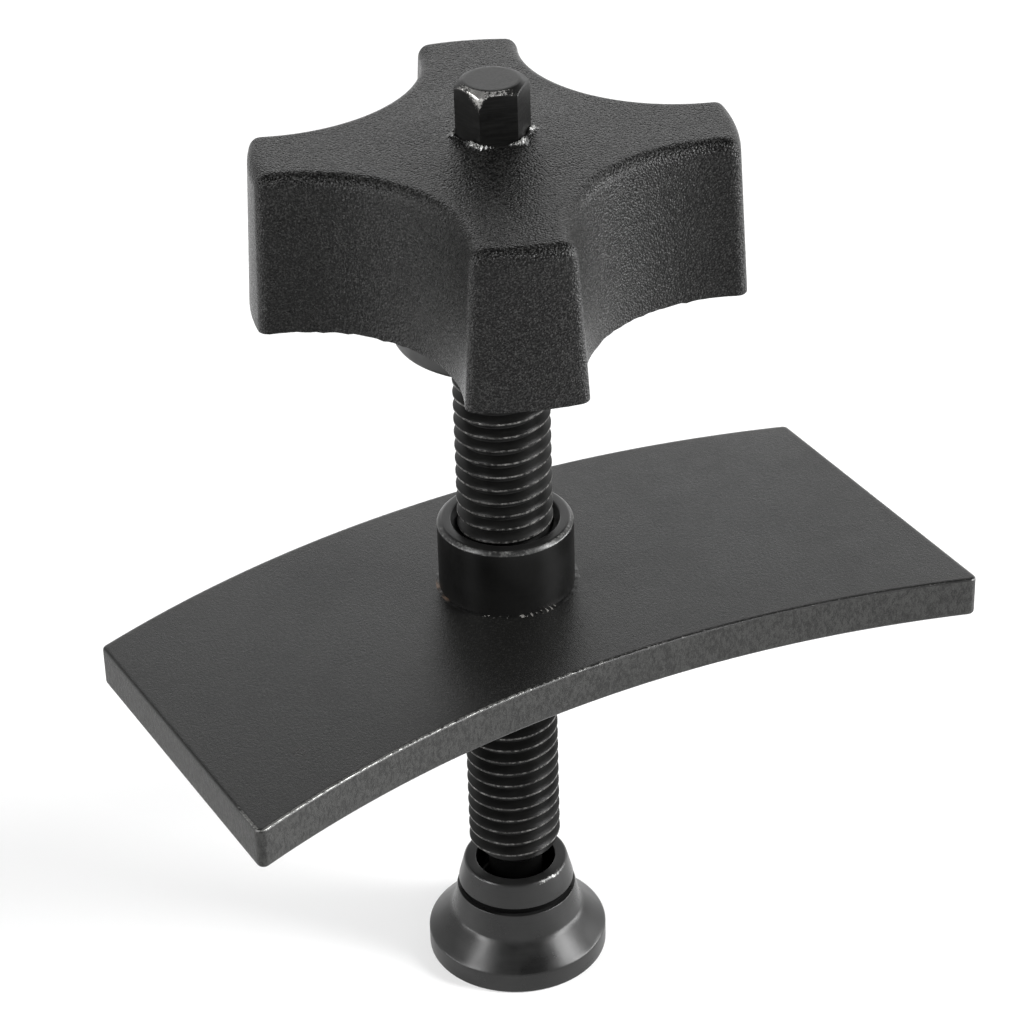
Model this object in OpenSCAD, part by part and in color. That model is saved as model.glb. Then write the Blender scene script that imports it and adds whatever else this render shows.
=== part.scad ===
// Brake caliper piston tool: a screw with a star knob spreads a swivel foot away from a curved plate.
// Millimetres, +Z up along the screw. The origin is the centre of the foot's bottom face.

/* [Plate] */
// Length of the plate between its two end faces
plate_length = 134.2; // [110:0.1:150]
// Width of the plate along Y
plate_width = 59.1; // [48:0.1:66]
// Thickness of the plate
plate_thickness = 7.3; // [5:0.1:10]
// Radius of both long edges, seen from above
plate_edge_radius = 195.3; // [150:0.1:260]
// Width of the flat that takes the point off each of the four corners
plate_corner_flat = 1.2; // [0.8:0.1:4]
// Small chamfer along the outer edges
plate_edge_break = 0.4; // [0.1:0.1:1]
// Height of the plate's top face above the bottom of the foot
plate_top_height = 77.2; // [70:0.1:90]
// Distance of the plate's middle from the screw, along its length
plate_shift = 0.35; // [-1:0.05:1]

/* [Collar] */
// Height of the collar above the plate
collar_height = 12.5; // [8:0.1:18]
// Wall of the collar round the screw
collar_wall = 3.7; // [3:0.1:6]
// Depth of the countersink at the mouth
collar_countersink = 1.3; // [0.6:0.1:2]
// Chamfer on the outer top edge
collar_edge_break = 0.7; // [0.2:0.1:1.2]
// Width of the seam that joins the collar to the plate
seam_width = 0.6; // [0.3:0.1:1.2]

/* [Screw] */
// Outside diameter of the thread
screw_diameter = 16; // [14:0.5:20]
// Radial running clearance between the screw and the collar
screw_clearance = 0.06; // [0.02:0.01:0.1]
// Rise of the thread in one turn
thread_pitch = 2.5; // [2:0.1:3.5]
// Depth of the thread
thread_depth = 1.3; // [0.8:0.05:1.6]
// Width of the thread's flat crest
thread_crest = 0.3; // [0.1:0.05:0.6]
// Length of the chamfer at the lower end of the thread
screw_end_chamfer = 2.6; // [1:0.1:3]
// Diameter of the neck above the ball
neck_diameter = 9.4; // [7:0.1:9.8]
// Free length of neck between the foot and the thread
neck_gap = 2.4; // [2:0.1:6]

/* [Hexagon] */
// Size of the driving hexagon across its flats
hex_across_flats = 10.4; // [8:0.1:12]
// Height of the hexagon above the knob
hex_height = 9.1; // [6:0.1:14]
// Turn of the hexagon about the screw
hex_turn = 41.4; // [0:0.1:60]

/* [Knob] */
// Radius of the arm ends at the bottom
knob_radius = 39.7; // [34:0.05:45]
// Height of the moulded arms
knob_height = 26.4; // [22:0.1:32]
// Distance of each finger hollow's centre from the screw
hollow_distance = 48.65; // [46:0.05:52]
// Radius of each finger hollow at the bottom
hollow_radius = 25; // [22:0.1:26]
// Slope of the moulded walls, as the inset at the top
knob_draft = 1.3; // [0.5:0.1:2]
// Rounding of the top edge
knob_top_fillet = 2.4; // [1:0.1:3]
// Rounding of the upright corners of the arms
knob_corner_radius = 1.9; // [1.5:0.1:3]
// Rise of the top towards the middle
knob_dome = 0.9; // [0:0.1:2]
// Thickness of the moulded walls round the hollow underside
knob_wall = 3; // [2:0.1:4]
// Thickness of the moulded top
knob_roof = 5; // [4:0.1:8]
// Radius of the smooth hub at its lower end
hub_radius = 17.3; // [14:0.05:18]
// Length of the hub below the arms
hub_drop = 7.9; // [3:0.1:12]
// Turn of the knob about the screw
knob_turn = -22.4; // [-45:0.1:45]
// Height of the hub's lower end above the collar in the stored pose
knob_gap = 35.5; // [25:0.1:45]

/* [Foot] */
// Radius of the foot's flat base
foot_radius = 15.8; // [14.5:0.1:20]
// Height of the upright rim
foot_rim_height = 4.2; // [3:0.1:6]
// Radius where the sloping flange meets the body
foot_body_radius = 11.5; // [11.2:0.1:13]
// Height of that meeting line
foot_body_height = 8.05; // [7:0.05:9]
// Radius of the body at the lower lip of the outer groove
foot_groove_radius = 10.45; // [10:0.05:11]
// Height of the lower lip of the outer groove
foot_groove_height = 13; // [12.5:0.1:14]
// Width of the outer groove
foot_groove_width = 1.35; // [0.8:0.05:2]
// Depth of the outer groove
foot_groove_depth = 0.8; // [0.4:0.1:0.9]
// Radius of the top face
foot_top_radius = 9.05; // [8.6:0.05:9.6]
// Height of the top face
foot_height = 18.75; // [18:0.05:22]
// Radius of the bore
foot_bore_radius = 6.95; // [6.8:0.05:7.2]

/* [Ball joint] */
// Radius of the ball on the screw's end
ball_radius = 6.4; // [6:0.05:6.5]
// Radial running clearance between the ball and its seat
ball_clearance = 0.05; // [0.02:0.01:0.1]
// Thickness of the foot under the ball
foot_floor = 3.15; // [2.5:0.05:4]
// Wire diameter of the retaining ring
ring_wire = 1.4; // [1.2:0.1:1.5]
// Radius of the ring's wire centre line
ring_radius = 6.6; // [6.5:0.05:6.75]
// Open part of the ring
ring_gap_angle = 40; // [20:5:70]
// Tilt of the foot each way
foot_tilt = 8; // [4:0.5:9]

/* [Hidden] */
screw_r = screw_diameter / 2;
collar_bore_r = screw_r + screw_clearance;
collar_r = screw_r + collar_wall + 0.05;
plate_bottom = plate_top_height - plate_thickness;
collar_top = plate_top_height + collar_height;
hub_bottom = collar_top + knob_gap;
knob_bottom = hub_bottom + hub_drop;
knob_top = knob_bottom + knob_height;
hex_top = knob_top + knob_dome + hex_height;
hex_r = hex_across_flats / 2 / cos(30);
// The thread ends in a shoulder that the hub sits on
shoulder = hub_bottom;
ball_z = foot_floor + ball_radius + ball_clearance;
seat_r = ball_radius + ball_clearance;
thread_start = foot_height + neck_gap;
// The thread's turns are rings, a pitch apart, that end at the shoulder
thread_turns = floor((shoulder - thread_start - screw_end_chamfer) / thread_pitch);
ring_rise = 3.7;
ring_z = ball_z + ring_rise;
// The inner groove is high and wide enough for the ring when the foot tilts
recess_half = ring_wire / 2 + (ring_radius + ring_wire / 2) * sin(foot_tilt) + 0.25;
recess_r = ring_radius + ring_wire / 2 + ring_rise * sin(foot_tilt) + 0.2;
// Centres of the two long edges: the same arc, moved by the plate's width
far_centre = plate_width / 2 - 0.25 - plate_edge_radius;
near_centre = far_centre - plate_width;
steel = [0.17, 0.17, 0.175];
bright_steel = [0.3, 0.29, 0.28];
plastic = [0.08, 0.08, 0.082];
corner_steps = 3;
hollow_steps = 12;
// Smallest rounding left where an inset has used up a corner's radius
corner_least = 0.8;

// Triangular ring that breaks an edge of radius r at height z; grow is 1 outside and -1 inside
module edge_ring(r, z, up, grow) {
  c = plate_edge_break;
  rotate_extrude($fn = 360)
    polygon([
      [r - grow * c, z], [r + grow * c, z - up * 2 * c],
      [r + grow * c, z + up], [r - grow * c, z + up]
    ]);
}

// Block that takes the point off a corner, square to the line that halves the corner's angle
module corner_cut(far) {
  w = plate_corner_flat;
  lean = asin(plate_length / 2 / plate_edge_radius);
  half_angle = far ? 45 + lean / 2 : 45 - lean / 2;
  point_y = (far ? far_centre : near_centre) + plate_edge_radius * cos(lean);
  translate([plate_length / 2, point_y, plate_bottom - 1])
    rotate([0, 0, far ? 90 - half_angle : half_angle - 90])
      translate([-w / 2 / tan(half_angle), -3 * w, 0]) cube([6 * w, 6 * w, plate_thickness + 2]);
}

// Plate without its hole: the strip between two equal arcs, with broken edges and corners
module plate_blank() {
  t = plate_thickness;
  l = plate_length;
  difference() {
    intersection() {
      translate([0, far_centre, plate_bottom]) cylinder(r = plate_edge_radius, h = t, $fn = 360);
      translate([-l / 2, -plate_width * 1.5, plate_bottom]) cube([l, plate_width * 3, t]);
    }
    translate([0, near_centre, plate_bottom - 1]) cylinder(r = plate_edge_radius, h = t + 2, $fn = 360);
    for (s = [-1, 1])
      for (z = [plate_bottom, plate_top_height])
        translate([s * l / 2, 0, z]) rotate([0, 45, 0])
          cube([plate_edge_break * sqrt(2), plate_width * 3, plate_edge_break * sqrt(2)], center = true);
    translate([0, far_centre, 0]) {
      edge_ring(plate_edge_radius, plate_top_height, 1, 1);
      edge_ring(plate_edge_radius, plate_bottom, -1, 1);
    }
    translate([0, near_centre, 0]) {
      edge_ring(plate_edge_radius, plate_top_height, 1, -1);
      edge_ring(plate_edge_radius, plate_bottom, -1, -1);
    }
    for (m = [0, 1])
      mirror([m, 0, 0]) for (far = [true, false]) corner_cut(far);
  }
}

module pressure_plate() {
  color(steel) difference() {
    translate([plate_shift, 0, 0]) plate_blank();
    translate([0, 0, plate_bottom - 1]) cylinder(r = collar_r, h = plate_thickness + 2, $fn = 96);
    translate([0, 0, plate_top_height - seam_width])
      cylinder(r1 = collar_r, r2 = collar_r + 2 * seam_width, h = 2 * seam_width, $fn = 96);
  }
}

module threaded_collar() {
  c = collar_edge_break;
  k = collar_countersink;
  color(steel) rotate_extrude($fn = 96)
    polygon([
      [collar_bore_r + 0.6, plate_bottom], [collar_r, plate_bottom], [collar_r, collar_top - c],
      [collar_r - c, collar_top], [collar_bore_r + k, collar_top], [collar_bore_r, collar_top - k],
      [collar_bore_r, plate_bottom + 0.6]
    ]);
}

module collar_weld() {
  color(bright_steel) rotate_extrude($fn = 96)
    polygon([
      [collar_r, plate_top_height - seam_width], [collar_r + seam_width, plate_top_height],
      [collar_r, plate_top_height]
    ]);
}

// Section of the groove above the thread's crest n, counted up from the lower end
function thread_groove(n) =
  let(
    crest = shoulder - (thread_turns - n) * thread_pitch,
    low = crest + thread_crest,
    high = crest + thread_pitch
  )
  [[screw_r, low], [screw_r - thread_depth, (low + high) / 2], [screw_r, high]];

module drive_screw() {
  color(steel) {
    translate([0, 0, ball_z]) sphere(r = ball_radius, $fn = 48);
    translate([0, 0, ball_z]) cylinder(d = neck_diameter, h = thread_start - ball_z + 0.5, $fn = 48);
    rotate_extrude($fn = 48)
      polygon(concat(
        [[0, thread_start], [screw_r - screw_end_chamfer, thread_start]],
        [[screw_r, thread_start + screw_end_chamfer]],
        [for (n = [0:thread_turns - 1]) each thread_groove(n)],
        [[0, shoulder]]
      ));
    intersection() {
      translate([0, 0, shoulder - 0.5]) rotate([0, 0, hex_turn])
        cylinder(r = hex_r, h = hex_top - shoulder + 0.5, $fn = 6);
      rotate_extrude($fn = 96)
        polygon([
          [0, shoulder - 1], [hex_r + 1, shoulder - 1],
          [hex_r + 1, hex_top - (hex_r + 1 - hex_across_flats * 0.44) * 0.6],
          [hex_across_flats * 0.44, hex_top], [0, hex_top]
        ]);
    }
  }
}

// One quarter of the knob's outline, inset by e from the bottom outline, with corners of radius q
function knob_quarter(e, q) =
  let(
    re = knob_radius - e,
    rs = hollow_radius + e,
    ok = re - q,
    ks = rs + q,
    turn = 45 - acos((ok * ok + hollow_distance * hollow_distance - ks * ks) / (2 * ok * hollow_distance)),
    s = hollow_distance * [cos(45), sin(45)],
    k = ok * [cos(turn), sin(turn)],
    b = atan2(s[1] - k[1], s[0] - k[0])
  )
  concat(
    [for (i = [0:1]) re * [cos(turn * i / 2), sin(turn * i / 2)]],
    [for (i = [0:corner_steps]) let(a = turn + (b - turn) * i / corner_steps) k + q * [cos(a), sin(a)]],
    [for (i = [1:hollow_steps - 1])
      let(a = b + 180 + (90 - 2 * b) * i / hollow_steps) s + rs * [cos(a), sin(a)]],
    [for (i = [corner_steps:-1:0])
      let(a = turn + (b - turn) * i / corner_steps, m = k + q * [cos(a), sin(a)]) [m[1], m[0]]],
    [let(m = re * [cos(turn / 2), sin(turn / 2)]) [m[1], m[0]]]
  );

function knob_ring(e, q, z, f = 1) =
  let(p = knob_quarter(e, q))
  [for (n = [0:3]) for (v = p) let(c = f * cos(90 * n), d = f * sin(90 * n))
    [v[0] * c - v[1] * d, v[0] * d + v[1] * c, z]];

// Solid through a list of rings with equal numbers of points
module loft(rings) {
  n = len(rings[0]);
  m = len(rings);
  polyhedron(
    points = [for (r = rings) for (v = r) v],
    faces = concat(
      [[for (i = [0:n - 1]) i]],
      [for (j = [0:m - 2]) for (i = [0:n - 1])
        [j * n + i, (j + 1) * n + i, (j + 1) * n + (i + 1) % n, j * n + (i + 1) % n]],
      [[for (i = [n - 1:-1:0]) (m - 1) * n + i]]
    )
  );
}

function drafted(z) = knob_draft * (z - knob_bottom) / knob_height;

// Moulded star: the rings run from the hollow's roof down its wall, then up the outside and over the top
module knob_shell() {
  f = knob_top_fillet;
  q = knob_corner_radius;
  roof = knob_top - knob_roof;
  wall_top = drafted(knob_top - f);
  loft(concat(
    [knob_ring(knob_wall + drafted(roof), corner_least, roof)],
    [knob_ring(knob_wall, corner_least, knob_bottom)],
    [knob_ring(0, q, knob_bottom)],
    [for (a = [0:22.5:90]) let(e = f * (1 - cos(a)))
      knob_ring(wall_top + e, max(q - e, corner_least), knob_top - f + f * sin(a))],
    [for (s = [0.75, 0.5])
      knob_ring(wall_top + f, corner_least, knob_top + knob_dome * (1 - s * s) / 0.75, s)]
  ));
}

module star_knob() {
  roof = knob_top - knob_roof;
  color(plastic) rotate([0, 0, knob_turn]) difference() {
    union() {
      knob_shell();
      translate([0, 0, hub_bottom + 0.5])
        cylinder(r1 = hub_radius, r2 = hub_radius + 0.6, h = roof - hub_bottom + 0.5, $fn = 96);
      translate([0, 0, hub_bottom]) cylinder(r1 = hub_radius - 0.5, r2 = hub_radius, h = 0.5, $fn = 96);
    }
    translate([0, 0, shoulder - 1]) rotate([0, 0, hex_turn - knob_turn])
      cylinder(r = hex_r, h = hex_top - shoulder + 2, $fn = 6);
  }
}

module snap_ring() {
  color(bright_steel) translate([0, 0, ring_z]) rotate([0, 0, ring_gap_angle / 2])
    rotate_extrude(angle = 360 - ring_gap_angle, $fn = 72)
      translate([ring_radius, 0]) circle(d = ring_wire, $fn = 32);
}

module swivel_foot() {
  g = foot_groove_depth;
  lip = foot_groove_height + foot_groove_width;
  upper = foot_groove_radius - 0.25;
  color(steel) difference() {
    rotate_extrude($fn = 120)
      polygon([
        [0, 0], [foot_radius - 0.3, 0], [foot_radius, 0.3], [foot_radius, foot_rim_height - 0.3],
        [foot_radius - 0.3, foot_rim_height + 0.1], [foot_body_radius + 0.5, foot_body_height - 0.3],
        [foot_body_radius, foot_body_height + 0.3],
        [foot_groove_radius, foot_groove_height], [foot_groove_radius - g, foot_groove_height],
        [foot_groove_radius - g, lip], [upper, lip], [foot_top_radius + 0.1, foot_height - 0.25],
        [foot_top_radius - 0.15, foot_height], [0, foot_height]
      ]);
    translate([0, 0, ball_z]) sphere(r = seat_r, $fn = 72);
    translate([0, 0, ball_z]) cylinder(r = foot_bore_radius, h = foot_height, $fn = 72);
    translate([0, 0, ring_z - recess_half]) cylinder(r = recess_r, h = 2 * recess_half, $fn = 72);
  }
}

pressure_plate();
threaded_collar();
collar_weld();
drive_screw();
star_knob();
snap_ring();
swivel_foot();
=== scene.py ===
"""Brake caliper piston tool: the finished look of each piece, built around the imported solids."""

import math

import bmesh
import bpy
from bpy.props import FloatProperty, FloatVectorProperty, IntProperty, PointerProperty
from mathutils import Matrix, Vector, noise


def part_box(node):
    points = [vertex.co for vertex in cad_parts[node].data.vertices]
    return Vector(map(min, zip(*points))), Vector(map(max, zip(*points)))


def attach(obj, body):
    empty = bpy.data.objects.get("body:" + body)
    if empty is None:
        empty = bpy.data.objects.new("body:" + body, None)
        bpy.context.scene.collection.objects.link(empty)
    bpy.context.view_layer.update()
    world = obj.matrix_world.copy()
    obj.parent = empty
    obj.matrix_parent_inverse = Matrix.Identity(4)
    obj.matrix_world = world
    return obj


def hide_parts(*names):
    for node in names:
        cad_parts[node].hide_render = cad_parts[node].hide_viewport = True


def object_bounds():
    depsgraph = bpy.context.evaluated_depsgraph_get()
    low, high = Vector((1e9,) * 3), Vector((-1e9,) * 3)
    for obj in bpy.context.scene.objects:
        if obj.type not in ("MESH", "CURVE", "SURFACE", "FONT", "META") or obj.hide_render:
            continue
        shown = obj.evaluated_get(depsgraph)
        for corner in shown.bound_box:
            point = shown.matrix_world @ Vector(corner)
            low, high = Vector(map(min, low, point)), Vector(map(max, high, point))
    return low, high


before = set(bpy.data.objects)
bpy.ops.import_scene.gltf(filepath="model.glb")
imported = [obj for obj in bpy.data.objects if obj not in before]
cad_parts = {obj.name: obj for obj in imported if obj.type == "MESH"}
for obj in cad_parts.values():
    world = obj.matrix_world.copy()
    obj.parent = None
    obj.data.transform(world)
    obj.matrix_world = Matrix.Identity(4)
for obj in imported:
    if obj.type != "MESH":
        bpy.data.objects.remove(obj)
CAD_BOX = [list(corner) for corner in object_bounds()]

bl_info = {
    "name": "Brake Caliper Piston Tool",
    "version": (1, 0, 0),
    "blender": (4, 5, 0),
    "location": "3D View > Sidebar > Piston Tool",
    "description": "Builds the plate, collar, screw, knob, foot and stage of a caliper piston tool",
    "category": "Add Mesh",
}

MM = 0.001
FULL_TURN = 2 * math.pi
QUARTER_TURN = math.pi / 2

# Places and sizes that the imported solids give
PLATE_LOW, PLATE_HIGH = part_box("pressure_plate")
COLLAR_LOW, COLLAR_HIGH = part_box("threaded_collar")
_, SEAM_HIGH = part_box("collar_weld")
_, SCREW_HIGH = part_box("drive_screw")
KNOB_LOW, KNOB_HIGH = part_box("star_knob")
RING_LOW, RING_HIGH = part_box("snap_ring")
_, FOOT_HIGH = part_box("swivel_foot")
PLATE_MIDDLE = (PLATE_HIGH.x + PLATE_LOW.x) / 2
RING_MIDDLE = (RING_LOW.z + RING_HIGH.z) / 2


def length(name, description, default):
    """A size in metres that a user may change."""
    return FloatProperty(name=name, description=description, default=default, unit="LENGTH", precision=5)


def colour(name, description, default):
    """A finish's colour that a user may change."""
    return FloatVectorProperty(
        name=name, description=description, default=default, subtype="COLOR", size=3, min=0.0, max=1.0
    )


def share(name, description, default):
    """A share between nothing and all that a user may change."""
    return FloatProperty(
        name=name, description=description, default=default, min=0.0, max=1.0, subtype="FACTOR"
    )


def angle(name, description, default):
    """An angle that a user may change; its default is given in degrees."""
    return FloatProperty(name=name, description=description, default=math.radians(default), subtype="ANGLE")


class PlateSettings(bpy.types.PropertyGroup):
    """Sizes and colours of the pressure plate"""

    edge_radius: length("Edge radius", "Radius of both long edges, seen from above", 195.3 * MM)
    width: length("Width", "Width of the plate along Y", 59.1 * MM)
    far_edge: length("Far edge", "Distance of the far edge's middle from the screw", 29.3 * MM)
    corner_rounding: length("Corner rounding", "Radius of the four upright corners", 1.2 * MM)
    edge_rounding: length("Edge rounding", "Radius along the top edge", 0.5 * MM)
    lower_rounding: length("Lower rounding", "Radius along the bottom edge", 0.8 * MM)
    coat: colour("Coat", "Colour of the dark coat", (0.0055, 0.0055, 0.0052))
    cut_side: colour("Cut side", "Colour of the grainy cut edges", (0.023, 0.023, 0.0223))
    bare_metal: colour("Bare metal", "Colour where the coat is worn away", (0.27, 0.27, 0.26))


class CollarSettings(bpy.types.PropertyGroup):
    """Sizes and colours of the threaded collar and its seam"""

    bore_radius: length("Bore radius", "Radius of the threaded bore's crests", 8.06 * MM)
    countersink: length("Countersink", "Depth of the cone at the mouth", 1.15 * MM)
    chamfer: length("Chamfer", "Chamfer on the outer top edge", 0.65 * MM)
    upper_radius: length("Upper radius", "Outside radius above the plate", 11.45 * MM)
    coat: colour("Coat", "Colour of the dark coat", (0.0035, 0.0035, 0.0034))
    bare_metal: colour("Bare metal", "Colour where the coat is worn away", (0.34, 0.34, 0.33))
    seam_tint: colour("Seam tint", "Heat tint of the seam", (0.11, 0.068, 0.044))
    seam_metal: colour("Seam metal", "Colour of the seam's bright spots", (0.6, 0.58, 0.55))
    seam_beads: IntProperty(
        name="Seam beads", description="Beads that would fill the whole seam", default=80, min=3
    )
    scrape_start: angle("Scrape start", "Angle from +X where the seam is scraped bright", -140.0)
    beads_start: angle("Beads start", "Angle from +X where the beads begin", -103.0)
    beads_end: angle("Beads end", "Angle from +X where the beads end", -73.0)


class ScrewSettings(bpy.types.PropertyGroup):
    """Sizes and colours of the drive screw"""

    thread_radius: length("Thread radius", "Outside radius of the thread", 8.0 * MM)
    thread_depth: length("Thread depth", "Depth of the thread", 1.3 * MM)
    pitch: length("Pitch", "Rise of the thread in one turn", 2.5 * MM)
    thread_start: length("Thread start", "Height of the thread's lower end", 21.15 * MM)
    thread_end: length("Thread end", "Height of the shoulder under the knob's hub", 125.2 * MM)
    end_chamfer: length("End chamfer", "Length of the chamfer at the thread's lower end", 2.6 * MM)
    neck_radius: length("Neck radius", "Radius of the neck above the ball", 4.7 * MM)
    ball_radius: length("Ball radius", "Radius of the ball in the foot", 6.4 * MM)
    ball_height: length("Ball height", "Height of the ball's centre", 9.6 * MM)
    hex_flats: length("Hexagon", "Size of the hexagon across its flats", 10.4 * MM)
    hex_top: length("Hexagon top", "Radius of the flat inside the hexagon's chamfer", 4.576 * MM)
    hex_turn: angle("Hexagon turn", "Turn of the hexagon about the screw", 41.4)
    thread_turn: angle("Thread turn", "Turn of the thread about the screw", 108.0)
    oxide: colour("Oxide", "Colour of the blackened steel", (0.0045, 0.0045, 0.0043))
    bare_metal: colour("Bare metal", "Colour where the black is worn away", (0.62, 0.61, 0.59))
    columns: IntProperty(name="Columns", description="Points around the screw", default=120, min=24, max=480)


class KnobSettings(bpy.types.PropertyGroup):
    """Sizes and colours of the star knob"""

    arm_radius: length("Arm radius", "Radius of the arm ends at the bottom", 39.7 * MM)
    arm_bottom: length("Arm bottom", "Height of the lower rim of the arms", 133.1 * MM)
    arm_top: length("Arm top", "Height of the arms' upper edge", 159.5 * MM)
    hollow_distance: length("Hollow distance", "Distance of each hollow's centre from the screw", 48.65 * MM)
    hollow_radius: length("Hollow radius", "Radius of each hollow at the bottom", 25.0 * MM)
    draft: length("Draft", "Inset of the walls at the top", 1.3 * MM)
    top_rounding: length("Top rounding", "Radius of the top edge", 2.4 * MM)
    corner_rounding: length("Corner rounding", "Radius of the upright corners", 1.9 * MM)
    least_rounding: length("Least rounding", "Radius of the corners on the top and inside", 0.8 * MM)
    dome: length("Dome", "Rise of the top towards the middle", 0.9 * MM)
    wall: length("Wall", "Thickness of the moulded walls", 3.0 * MM)
    roof: length("Roof", "Thickness of the moulded top", 5.0 * MM)
    hub_radius: length("Hub radius", "Radius of the hub's lower end", 17.3 * MM)
    turn: angle("Turn", "Turn of the knob about the screw", -22.4)
    flash: length("Flash", "Height of the ragged flash along the lower rim", 0.42 * MM)
    plastic: colour("Plastic", "Colour of the moulded plastic", (0.0035, 0.0035, 0.0034))
    # Painted highlight: this colour goes on the tops of the flash's curls.
    flash_painted_highlight: colour("Pale flash", "Colour where the flash was stretched", (0.30, 0.30, 0.29))


class FootSettings(bpy.types.PropertyGroup):
    """Sizes and colours of the swivel foot and its wire ring"""

    flange_height: length("Flange height", "Height of the flange's upright side", 3.9 * MM)
    slope_radius: length("Slope radius", "Radius at the top of the flange's slope", 11.95 * MM)
    slope_top: length("Slope top", "Height of the top of the flange's slope", 7.75 * MM)
    body_radius: length("Body radius", "Radius of the body's lower end", 11.5 * MM)
    body_start: length("Body start", "Height of the body's lower end", 8.35 * MM)
    groove_low: length("Groove low", "Height of the outer groove's lower edge", 13.0 * MM)
    groove_high: length("Groove high", "Height of the outer groove's upper edge", 14.35 * MM)
    groove_radius: length("Groove radius", "Radius of the outer groove's floor", 9.6 * MM)
    lower_lip: length("Lower lip", "Radius of the body under the outer groove", 10.45 * MM)
    upper_lip: length("Upper lip", "Radius of the body over the outer groove", 10.2 * MM)
    head_radius: length("Head radius", "Radius under the mouth's chamfer", 9.15 * MM)
    head_height: length("Head height", "Height where the mouth's chamfer begins", 18.45 * MM)
    mouth_radius: length("Mouth radius", "Outside radius of the mouth's flat rim", 8.87 * MM)
    bore_radius: length("Bore radius", "Radius of the foot's bore", 6.95 * MM)
    seat_radius: length("Seat radius", "Radius of the ball's seat", 6.45 * MM)
    recess_radius: length("Recess radius", "Radius of the inner groove for the ring", 8.0 * MM)
    recess_half: length("Recess half height", "Half the height of the inner groove", 1.96 * MM)
    wire_radius: length("Wire radius", "Radius of the ring's wire", 0.7 * MM)
    ring_gap: angle("Ring gap", "Open part of the ring", 40.0)
    steel: colour("Steel", "Colour of the satin steel", (0.008, 0.008, 0.0079))
    bare_metal: colour("Bare metal", "Colour along the worn edges", (0.40, 0.40, 0.39))
    wire: colour("Wire", "Colour of the spring wire", (0.04, 0.039, 0.038))


class StageSettings(bpy.types.PropertyGroup):
    """Light, floor and camera"""

    floor: colour("Floor", "Colour of the floor", (0.55, 0.55, 0.55))
    floor_half: length("Floor half", "Half the side of the square floor", 6.0)
    floor_glow: share("Floor glow", "Share of the floor's white that the lamps don't give", 0.42)
    ceiling: share("Ceiling", "Level of the dark ceiling, against the white surroundings", 0.06)
    lens: FloatProperty(name="Lens", description="Focal length in millimetres", default=121.29)
    camera_place: FloatVectorProperty(
        name="Camera place", description="Place of the camera", default=(-0.23136, -0.42660, 0.39662),
        subtype="TRANSLATION", unit="LENGTH", size=3, precision=5
    )
    camera_heading: angle("Camera heading", "Turn about the upright, from looking along +Y", -28.6099)
    camera_tilt: angle("Camera tilt", "Tilt from looking straight down", 57.7517)
    camera_roll: angle("Camera roll", "Turn about the line of sight", -1.6895)


# Mesh helpers


def polar(radius, a, z):
    """Point at a radius and an angle about the screw's axis, and a height."""
    return radius * math.cos(a), radius * math.sin(a), z


def softened(points, steps=5):
    """Rounds the corners of a closed line of (radius, height, cut) points.

    cut is the length taken off each side of a corner, at most a good part of the shorter side.
    """
    most = 0.45
    line = []
    count = len(points)
    for i, (r, z, cut) in enumerate(points):
        here = Vector((r, z))
        before = Vector(points[i - 1][:2]) - here
        after = Vector(points[(i + 1) % count][:2]) - here
        cut = min(cut, before.length * most, after.length * most)
        if cut <= 0:
            line.append((r, z))
            continue
        a, b = here + before.normalized() * cut, here + after.normalized() * cut
        for k in range(steps + 1):
            t = k / steps
            p = a * (1 - t) ** 2 + here * 2 * t * (1 - t) + b * t * t
            line.append((p.x, p.y))
    return line


def divided(line, longest):
    """Divides the long stretches of a closed line of (radius, height) points, apart from a flat base."""
    dense = []
    for i, (r, z) in enumerate(line):
        dense.append((r, z))
        r2, z2 = line[(i + 1) % len(line)]
        parts = int(math.hypot(r2 - r, z2 - z) / longest) if r > 0 and z > 0 else 0
        for n in range(1, parts + 1):
            dense.append((r + (r2 - r) * n / (parts + 1), z + (z2 - z) * n / (parts + 1)))
    return dense


def loft(rings, close_loop=False):
    """Vertices and quads through rings with equal numbers of points."""
    count = len(rings[0])
    points = [tuple(p) for ring in rings for p in ring]
    faces = []
    last = len(rings) if close_loop else len(rings) - 1
    for j in range(last):
        low, high = j * count, (j + 1) % len(rings) * count
        for i in range(count):
            n = (i + 1) % count
            faces.append((low + i, low + n, high + n, high + i))
    return points, faces


def revolved(line, columns, close_loop=True, start=0.0):
    """Vertices and quads of a line of (radius, height) points turned about the screw's axis."""
    angles = [start + FULL_TURN * i / columns for i in range(columns)]
    return loft([[polar(r, a, z) for a in angles] for r, z in line], close_loop)


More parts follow.
